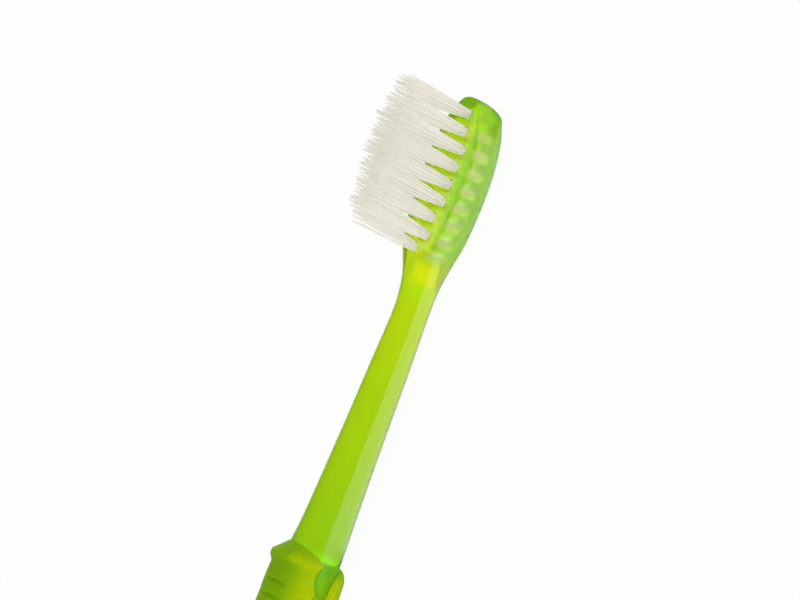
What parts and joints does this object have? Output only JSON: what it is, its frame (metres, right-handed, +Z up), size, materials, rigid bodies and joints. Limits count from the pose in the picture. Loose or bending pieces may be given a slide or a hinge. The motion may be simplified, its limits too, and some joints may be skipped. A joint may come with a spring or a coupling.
{
  "type": "manual toothbrush",
  "caption": "Manual toothbrush with an oval bristle head, a slim round neck and a handle with soft thumb and palm grips, lying on its back.",
  "frame": {"origin": "under the middle of the brush, on the surface that it lies on", "axes": "+X along the brush towards the tip, +Z up, the way the bristles point"},
  "size_m": [0.185, 0.0132, 0.0157],
  "materials": {
    "handle_plastic": "gloss, translucent",
    "grip_rubber": "satin, translucent",
    "anchor_metal": "plain",
    "filament": "satin"
  },
  "bodies": {
    "root": {"handle": "handle_plastic", "thumb_grip": "grip_rubber", "palm_grip": "grip_rubber", "tuft_anchors": "anchor_metal", "tuft_row_1_column_1": "filament", "tuft_row_1_column_2": "filament", "tuft_row_2_column_1": "filament", "tuft_row_2_column_2": "filament", "tuft_row_2_column_3": "filament", "tuft_row_3_column_1": "filament", "tuft_row_3_column_2": "filament", "tuft_row_3_column_3": "filament", "tuft_row_3_column_4": "filament", "tuft_row_4_column_1": "filament", "tuft_row_4_column_2": "filament", "tuft_row_4_column_3": "filament", "tuft_row_4_column_4": "filament", "tuft_row_5_column_1": "filament", "tuft_row_5_column_2": "filament", "tuft_row_5_column_3": "filament", "tuft_row_5_column_4": "filament", "tuft_row_6_column_1": "filament", "tuft_row_6_column_2": "filament", "tuft_row_6_column_3": "filament", "tuft_row_6_column_4": "filament", "tuft_row_7_column_1": "filament", "tuft_row_7_column_2": "filament", "tuft_row_7_column_3": "filament", "tuft_row_8_column_1": "filament", "tuft_row_8_column_2": "filament", "tuft_row_8_column_3": "filament", "tuft_row_9_column_1": "filament"}
  },
  "joints": []
}
